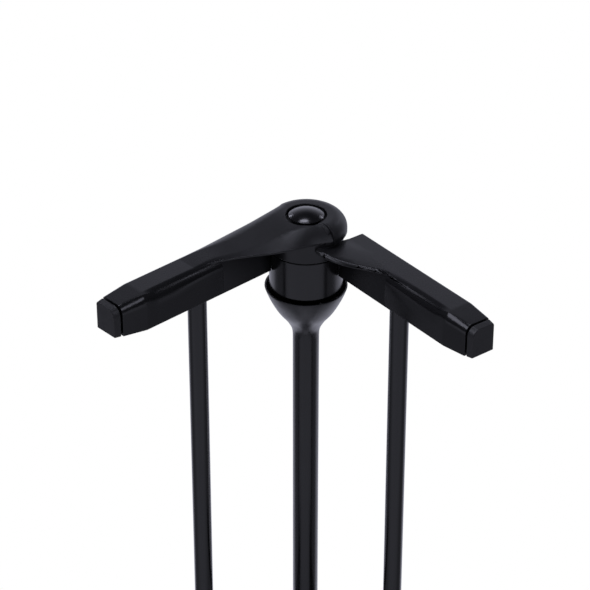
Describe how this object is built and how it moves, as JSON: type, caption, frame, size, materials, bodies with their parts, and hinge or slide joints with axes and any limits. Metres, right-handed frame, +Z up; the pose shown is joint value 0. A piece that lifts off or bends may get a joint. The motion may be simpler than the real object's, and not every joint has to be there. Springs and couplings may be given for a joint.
{
  "type": "music stand",
  "caption": "Folding music stand: two desk wings with ledges swing on a flared spine with a push-button hub, on a tilting, telescopic mast with a folding tripod.",
  "frame": {"origin": "on the floor, at the centre of the footprint of the three feet", "axes": "+Z up along the mast, the reader on the -Y side, +X to the reader's right"},
  "size_m": [0.4938, 0.429, 1.0173],
  "materials": {
    "black_casting": "die casting, satin black powder coat",
    "black_tube": "steel tube, semi-gloss black enamel",
    "black_button": "moulded, polished black",
    "black_plastic": "moulded, fine grain black",
    "dark_nylon": "moulded nylon",
    "rubber": "moulded, matt black",
    "steel": "blackened steel"
  },
  "bodies": {
    "base": {"base_hub": "black_casting", "base_cap": "black_plastic", "base_screw": "steel", "outer_tube": "black_tube", "clamp_collar": "black_casting", "leg_pins": "steel"},
    "clamp": {"clamp_screw": "steel", "clamp_knob": "black_plastic"},
    "front_leg_set": {"front_leg": "black_casting", "front_foot": "rubber"},
    "right_leg_set": {"right_leg": "black_casting", "right_foot": "rubber"},
    "left_leg_set": {"left_leg": "black_casting", "left_foot": "rubber"},
    "mast": {"inner_tube": "black_tube", "guide_bush": "dark_nylon", "tilt_tongue": "black_casting", "friction_washers": "dark_nylon"},
    "desk": {"tilt_yoke": "black_casting", "tilt_bolt": "steel", "spine_tube": "black_tube", "hub_barrel": "black_casting", "pivot_pin": "steel", "lower_washer": "dark_nylon", "retaining_ring": "steel", "ledge_collar": "black_casting", "collar_screw": "steel", "button_spring": "steel"},
    "tilt_grip": {"tilt_knob": "black_plastic"},
    "left_wing": {"left_arm": "black_casting", "left_bar": "black_tube", "left_ledge": "black_casting", "left_ledge_bush": "dark_nylon", "left_grub_screws": "steel"},
    "right_wing": {"right_arm": "black_casting", "upper_washer": "dark_nylon", "right_bar": "black_tube", "right_ledge": "black_casting", "right_ledge_bush": "dark_nylon", "right_grub_screws": "steel"},
    "button": {"push_button": "black_button", "lock_cross_pin": "steel", "lock_disc": "steel"},
    "left_end": {"left_slide": "black_casting", "left_end_cap": "black_plastic"},
    "right_end": {"right_slide": "black_casting", "right_end_cap": "black_plastic"}
  },
  "joints": [
    {"name": "right_swing", "type": "hinge", "parent": "desk", "child": "right_wing", "pos_m": [0, 0.0675, 0.9975], "axis": [0, 0, 1], "range_deg": [-39, 47.65]},
    {"name": "left_swing", "type": "hinge", "parent": "desk", "child": "left_wing", "pos_m": [0, 0.0675, 1.0095], "axis": [0, 0, -1], "range_deg": [-39, 47.65]},
    {"name": "button_press", "type": "slide", "parent": "desk", "child": "button", "axis": [0, 0, -1], "range_m": [0, 0.003], "stiffness_N_per_m": 800, "springref_m": -0.002, "deforming": ["button_spring"]},
    {"name": "desk_tilt", "type": "hinge", "parent": "mast", "child": "desk", "pos_m": [0, 0.0675, 0.6], "axis": [-1, 0, 0], "range_deg": [0, 65]},
    {"name": "tilt_knob_turn", "type": "hinge", "parent": "desk", "child": "tilt_grip", "pos_m": [0.02, 0.0675, 0.6], "axis": [1, 0, 0], "range_deg": [0, 180]},
    {"name": "clamp_knob_turn", "type": "hinge", "parent": "base", "child": "clamp", "pos_m": [0.03, 0.0675, 0.452], "axis": [1, 0, 0], "range_deg": [0, 180]},
    {"name": "mast_slide", "type": "slide", "parent": "base", "child": "mast", "axis": [0, 0, 1], "range_m": [0, 0.26]},
    {"name": "left_extend", "type": "slide", "parent": "left_wing", "child": "left_end", "axis": [-0.6737, -0.739, 0], "range_m": [0, 0.035]},
    {"name": "right_extend", "type": "slide", "parent": "right_wing", "child": "right_end", "axis": [0.6737, -0.739, 0], "range_m": [0, 0.035]},
    {"name": "front_leg_fold", "type": "hinge", "parent": "base", "child": "front_leg_set", "pos_m": [0, 0.0315, 0.084], "axis": [1, 0, 0], "range_deg": [0, 70]},
    {"name": "right_leg_fold", "type": "hinge", "parent": "base", "child": "right_leg_set", "pos_m": [0.03118, 0.0855, 0.084], "axis": [-0.5, 0.866, 0], "range_deg": [0, 70]},
    {"name": "left_leg_fold", "type": "hinge", "parent": "base", "child": "left_leg_set", "pos_m": [-0.03118, 0.0855, 0.084], "axis": [-0.5, -0.866, 0], "range_deg": [0, 70]}
  ]
}
